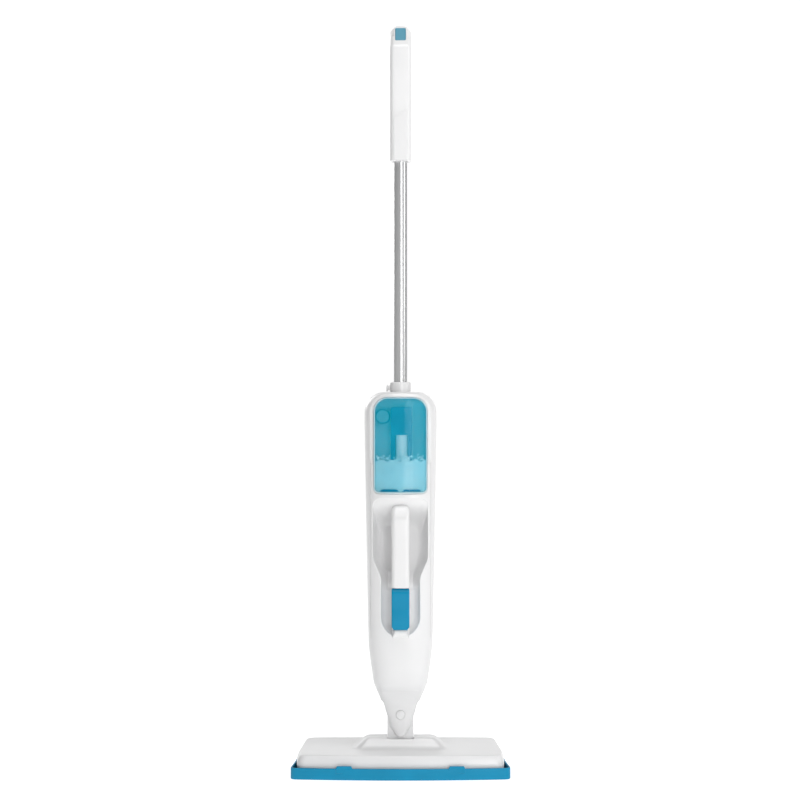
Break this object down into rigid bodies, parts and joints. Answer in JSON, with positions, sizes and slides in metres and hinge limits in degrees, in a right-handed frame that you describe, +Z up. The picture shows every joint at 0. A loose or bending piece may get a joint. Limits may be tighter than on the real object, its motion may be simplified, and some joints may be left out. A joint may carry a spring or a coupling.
{
  "type": "steam mop",
  "caption": "Upright steam mop with a carpet glider, a tilting and swivelling neck, a lift-out water tank, a hand grip on the body and a loop handle on a pull-out tube.",
  "frame": {"origin": "on the floor under the middle of the carpet glider and the tube's axis", "axes": "+Z up along the tube, tank and controls face -Y, the user stands on the +Y side, +X is to the right seen from the front"},
  "size_m": [0.342, 0.19, 1.182],
  "materials": {
    "white_gloss": "glossy white moulded plastic",
    "blue_gloss": "glossy blue moulded plastic",
    "tank_blue": "clear tinted moulded plastic",
    "filter_blue": "satin blue moulded plastic",
    "clear_tube": "clear moulded plastic",
    "tube_steel": "polished steel tube",
    "zinc_steel": "zinc plated",
    "spring_steel": "drawn wire",
    "inner_plastic": "unpainted moulded plastic",
    "dark_plastic": "black moulded plastic",
    "bush_plastic": "natural acetal",
    "boiler_alloy": "cast aluminium",
    "hose_silicone": "silicone hose",
    "seal_rubber": "moulded rubber",
    "pad_fabric": "looped microfibre",
    "hook_tape": "woven hook tape",
    "board_green": "coated circuit board"
  },
  "bodies": {
    "glider": {"carpet_glider": "blue_gloss"},
    "head": {"head_cover": "white_gloss", "head_base_plate": "white_gloss", "mop_pad": "pad_fabric", "hook_strips": "hook_tape", "steam_distributor": "inner_plastic", "head_steam_hose": "hose_silicone", "head_screws": "zinc_steel", "pivot_bushes": "bush_plastic", "parking_detent": "spring_steel"},
    "knuckle": {"knuckle": "white_gloss", "trunnion_pin": "zinc_steel"},
    "body": {"neck_housing": "white_gloss", "swivel_pin": "zinc_steel", "body_front_shell": "white_gloss", "body_rear_shell": "white_gloss", "tank_frame": "white_gloss", "pole_socket": "white_gloss", "contact_socket": "dark_plastic", "release_spring": "spring_steel", "tank_seat": "inner_plastic", "pump": "dark_plastic", "boiler": "boiler_alloy", "thermostat": "dark_plastic", "inlet_hose": "hose_silicone", "feed_hose": "hose_silicone", "steam_hose": "hose_silicone", "control_board": "board_green", "thumb_switch": "dark_plastic", "thumb_spring": "spring_steel", "cable_gland": "seal_rubber", "body_screws": "zinc_steel", "lower_cord_hook": "white_gloss"},
    "thumb_button": {"thumb_button": "blue_gloss"},
    "release_button": {"release_button": "white_gloss"},
    "tank": {"tank_shell": "tank_blue", "filter_housing": "filter_blue", "dip_tube": "clear_tube", "tank_outlet": "inner_plastic", "outlet_seal": "seal_rubber"},
    "filler_cap": {"filler_cap": "white_gloss"},
    "pole": {"pole_tube": "tube_steel", "contact_plug": "dark_plastic", "handle_left_shell": "white_gloss", "handle_right_shell": "white_gloss", "handle_front_strip": "white_gloss", "handle_switch": "dark_plastic", "handle_spring": "spring_steel", "handle_screws": "zinc_steel", "hook_screw": "zinc_steel"},
    "handle_button": {"handle_button": "blue_gloss"},
    "cord_hook": {"upper_cord_hook": "white_gloss"}
  },
  "joints": [
    {"name": "head_lift", "type": "slide", "parent": "glider", "child": "head", "axis": [0, 0, 1], "range_m": [0, 0.04]},
    {"name": "neck_tilt", "type": "hinge", "parent": "head", "child": "knuckle", "pos_m": [0, 0, 0.046], "axis": [-1, 0, 0], "range_deg": [0, 65]},
    {"name": "neck_swivel", "type": "hinge", "parent": "knuckle", "child": "body", "pos_m": [0, 0, 0.089], "axis": [0, 1, 0], "range_deg": [-45, 45]},
    {"name": "thumb_press", "type": "slide", "parent": "body", "child": "thumb_button", "axis": [0, 1, 0], "range_m": [0, 0.0025], "stiffness_N_per_m": 500, "springref_m": -0.004, "deforming": ["thumb_spring"]},
    {"name": "release_press", "type": "slide", "parent": "body", "child": "release_button", "axis": [1, 0, 0], "range_m": [0, 0.003], "stiffness_N_per_m": 500, "springref_m": -0.003, "deforming": ["release_spring"]},
    {"name": "tank_pull", "type": "slide", "parent": "body", "child": "tank", "axis": [0, -1, 0], "range_m": [0, 0.06]},
    {"name": "cap_turn", "type": "hinge", "parent": "tank", "child": "filler_cap", "pos_m": [-0.028, -0.0245, 0.56], "axis": [0, 1, 0], "range_deg": [0, 90]},
    {"name": "pole_pull", "type": "slide", "parent": "body", "child": "pole", "axis": [0, 0, 1], "range_m": [0, 0.12]},
    {"name": "handle_press", "type": "slide", "parent": "pole", "child": "handle_button", "axis": [0, 0.7071, -0.7071], "range_m": [0, 0.0025], "stiffness_N_per_m": 500, "springref_m": -0.004, "deforming": ["handle_spring"]},
    {"name": "hook_swivel", "type": "hinge", "parent": "pole", "child": "cord_hook", "pos_m": [0, 0.022, 0.99], "axis": [0, 1, 0], "range_deg": [0, 180]}
  ]
}
